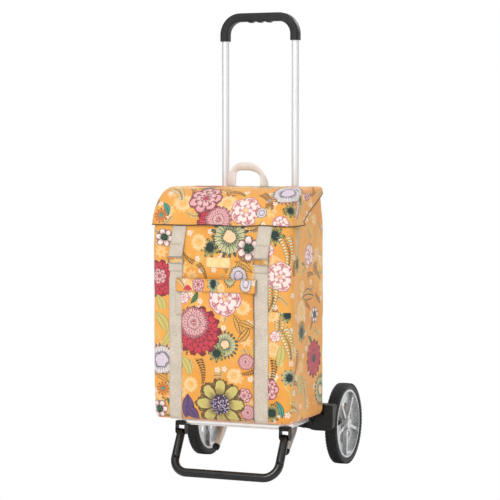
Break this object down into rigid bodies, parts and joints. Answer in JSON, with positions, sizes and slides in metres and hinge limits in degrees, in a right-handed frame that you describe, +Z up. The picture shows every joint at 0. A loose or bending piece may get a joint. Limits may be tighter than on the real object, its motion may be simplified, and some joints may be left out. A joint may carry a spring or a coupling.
{
  "type": "shopping trolley",
  "caption": "Two-wheeled shopping trolley: upright handle frame, fold-up shelf and stand, and a soft upright bag with a flap top and a front pocket.",
  "frame": {"origin": "on the floor, under the middle of the outer box", "axes": "+X to the right as seen from the front, +Y to the rear towards the wheels, +Z up; the pocket faces -Y"},
  "size_m": [0.3994, 0.451, 1.11],
  "materials": {
    "aluminium_tube": "satin anodised tube",
    "black_plastic": "fine-grained black moulding",
    "steel": "zinc-plated",
    "wheel_plastic": "silver-grey moulding",
    "tyre_rubber": "matt rubber with a running tread",
    "black_paint": "gloss black enamel on tube",
    "floral_fabric": "coated polyester with a dense flower print",
    "webbing": "beige woven webbing",
    "ring_chrome": "bright plated wire",
    "board": "stiff base board",
    "label_cloth": "plain woven label"
  },
  "bodies": {
    "frame": {"handle_tube_left": "aluminium_tube", "handle_tube_right": "aluminium_tube", "grip": "black_plastic", "skid_plug_left": "black_plastic", "skid_plug_right": "black_plastic", "upper_brace": "black_plastic", "brace_screws": "steel", "axle_bracket_left": "black_plastic", "axle_bracket_right": "black_plastic", "shelf_pin_left": "steel", "shelf_pin_right": "steel", "bracket_rivets": "steel", "axle": "steel", "axle_clips": "steel"},
    "wheel_left": {"rim_left": "wheel_plastic", "tyre_left": "tyre_rubber", "hub_cap_left": "wheel_plastic", "bearing_inner_left": "steel", "bearing_outer_left": "steel"},
    "wheel_right": {"rim_right": "wheel_plastic", "tyre_right": "tyre_rubber", "hub_cap_right": "wheel_plastic", "bearing_inner_right": "steel", "bearing_outer_right": "steel"},
    "shelf": {"shelf_loop": "aluminium_tube", "shelf_cross_bar": "aluminium_tube", "shelf_eye_left": "black_plastic", "shelf_eye_right": "black_plastic", "stand_bracket_left": "black_plastic", "stand_bracket_right": "black_plastic", "stand_pin_left": "steel", "stand_pin_right": "steel"},
    "stand": {"stand_loop": "black_paint", "stand_tip_left": "black_plastic", "stand_tip_right": "black_plastic"},
    "bag": {"bag_body": "floral_fabric", "base_board": "board", "lower_strap_left": "webbing", "lower_strap_right": "webbing", "strap_tail": "webbing", "front_pocket": "floral_fabric", "blank_label": "label_cloth", "bag_hooks": "black_plastic"},
    "flap": {"cover_flap": "floral_fabric", "upper_strap_left": "webbing", "upper_strap_right": "webbing", "strap_ring_left": "ring_chrome", "strap_ring_right": "ring_chrome", "carry_handle": "webbing"},
    "pocket_flap": {"pocket_flap": "floral_fabric"}
  },
  "joints": [
    {"name": "wheel_left_spin", "type": "hinge", "parent": "frame", "child": "wheel_left", "pos_m": [-0.185, 0.1255, 0.1], "axis": [1, 0, 0], "continuous": true},
    {"name": "wheel_right_spin", "type": "hinge", "parent": "frame", "child": "wheel_right", "pos_m": [0.185, 0.1255, 0.1], "axis": [1, 0, 0], "continuous": true},
    {"name": "shelf_fold", "type": "hinge", "parent": "frame", "child": "shelf", "pos_m": [0, 0.0015, 0.127], "axis": [-1, 0, 0], "range_deg": [0, 90]},
    {"name": "stand_fold", "type": "hinge", "parent": "shelf", "child": "stand", "pos_m": [0, -0.1415, 0.103], "axis": [1, 0, 0], "range_deg": [0, 121.52]},
    {"name": "bag_lift", "type": "slide", "parent": "frame", "child": "bag", "axis": [0, 0, 1], "range_m": [0, 0.27]},
    {"name": "flap_open", "type": "hinge", "parent": "bag", "child": "flap", "pos_m": [0, 0.0142, 0.688], "axis": [-1, 0, 0], "range_deg": [0, 90]},
    {"name": "pocket_flap_open", "type": "hinge", "parent": "bag", "child": "pocket_flap", "pos_m": [0, -0.2115, 0.475], "axis": [-1, 0, 0], "range_deg": [0, 90]}
  ],
  "couplings": [
    {"joint": "stand_fold", "follows": "shelf_fold", "ratio": 1.3435},
    {"joint": "bag_lift", "follows": "shelf_fold", "m_per_rad": 0.17}
  ]
}
